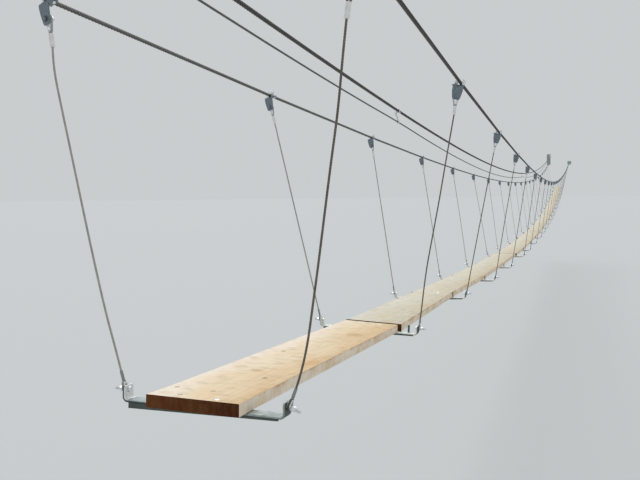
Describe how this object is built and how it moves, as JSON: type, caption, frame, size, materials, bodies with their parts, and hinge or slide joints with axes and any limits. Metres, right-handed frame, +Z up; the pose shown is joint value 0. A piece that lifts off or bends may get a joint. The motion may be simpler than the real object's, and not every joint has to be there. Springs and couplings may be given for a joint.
{
  "type": "rope suspension footbridge",
  "caption": "Sagging plank footbridge: steel crossbars hang by thin wire hangers from two carrying ropes, with a guard rope and lifeline on one side and anchor plates at both ends.",
  "frame": {"origin": "centre of the near left anchor plate's flat face against the rock", "axes": "+Y along the walk from the near anchors to the far anchors, +X to the walker's right, +Z up"},
  "size_m": [1.0583, 33.8, 2.2254],
  "materials": {
    "wood": "rough sawn, weathered",
    "galvanised": "hot-dip galvanised",
    "rope": "weathered wire rope"
  },
  "bodies": {
    "root": {"crossbar_01": "galvanised", "crossbar_02": "galvanised", "crossbar_03": "galvanised", "crossbar_04": "galvanised", "crossbar_05": "galvanised", "crossbar_06": "galvanised", "crossbar_07": "galvanised", "crossbar_08": "galvanised", "crossbar_09": "galvanised", "crossbar_10": "galvanised", "crossbar_11": "galvanised", "crossbar_12": "galvanised", "crossbar_13": "galvanised", "crossbar_14": "galvanised", "crossbar_15": "galvanised", "crossbar_16": "galvanised", "crossbar_17": "galvanised", "crossbar_18": "galvanised", "crossbar_19": "galvanised", "crossbar_20": "galvanised", "crossbar_21": "galvanised", "crossbar_22": "galvanised", "plank_1": "wood", "plank_2": "wood", "plank_3": "wood", "plank_4": "wood", "plank_5": "wood", "plank_6": "wood", "left_carrying_rope": "rope", "right_carrying_rope": "rope", "guard_rope": "rope", "lifeline": "rope", "near_left_anchor": "galvanised", "near_right_anchor": "galvanised", "far_left_anchor": "galvanised", "far_right_anchor": "galvanised"}
  },
  "joints": []
}
